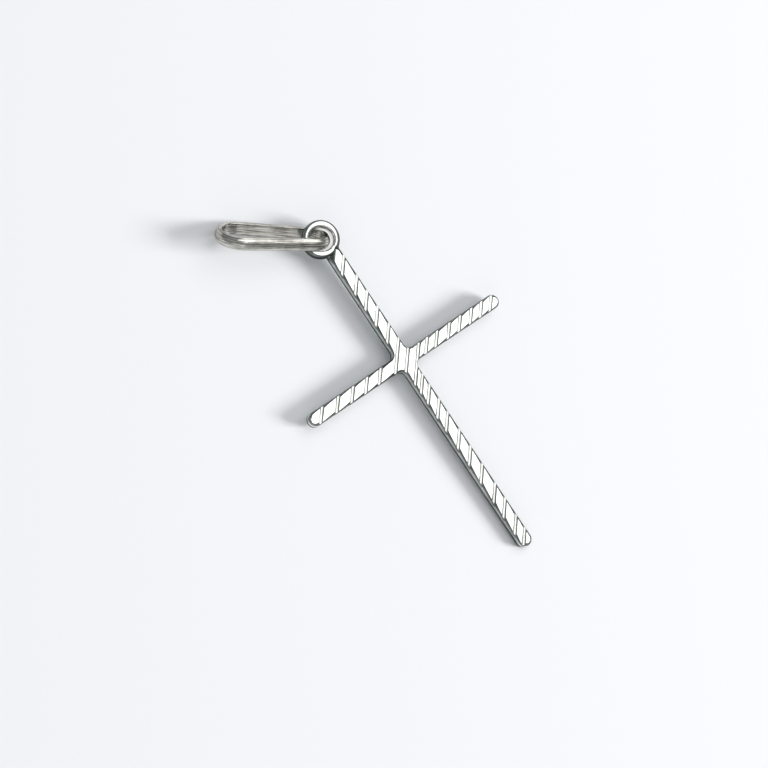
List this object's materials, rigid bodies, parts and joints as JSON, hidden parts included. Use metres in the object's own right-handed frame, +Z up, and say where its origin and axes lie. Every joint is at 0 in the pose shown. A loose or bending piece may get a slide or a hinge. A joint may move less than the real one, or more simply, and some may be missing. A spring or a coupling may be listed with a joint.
{
  "type": "cross pendant",
  "caption": "Slim Latin cross pendant with slanting diamond cuts on its front, a ring eyelet on top and a loose drop-shaped bail.",
  "frame": {"origin": "middle of the part's box, on the surface it lies on", "axes": "+X along the right arm seen from the front, +Y up the upright towards the eyelet, +Z up, out of the cross's front"},
  "size_m": [0.017, 0.0313, 0.0032],
  "materials": {
    "diamond_cut_silver": "mirror-bright diamond-cut front on polished silver, with fine tool lines along the cuts",
    "bail_silver": "silver band brushed along its length, a little warmer and duller than the cross"
  },
  "bodies": {
    "root": {"cross": "diamond_cut_silver", "bail": "bail_silver"}
  },
  "joints": []
}
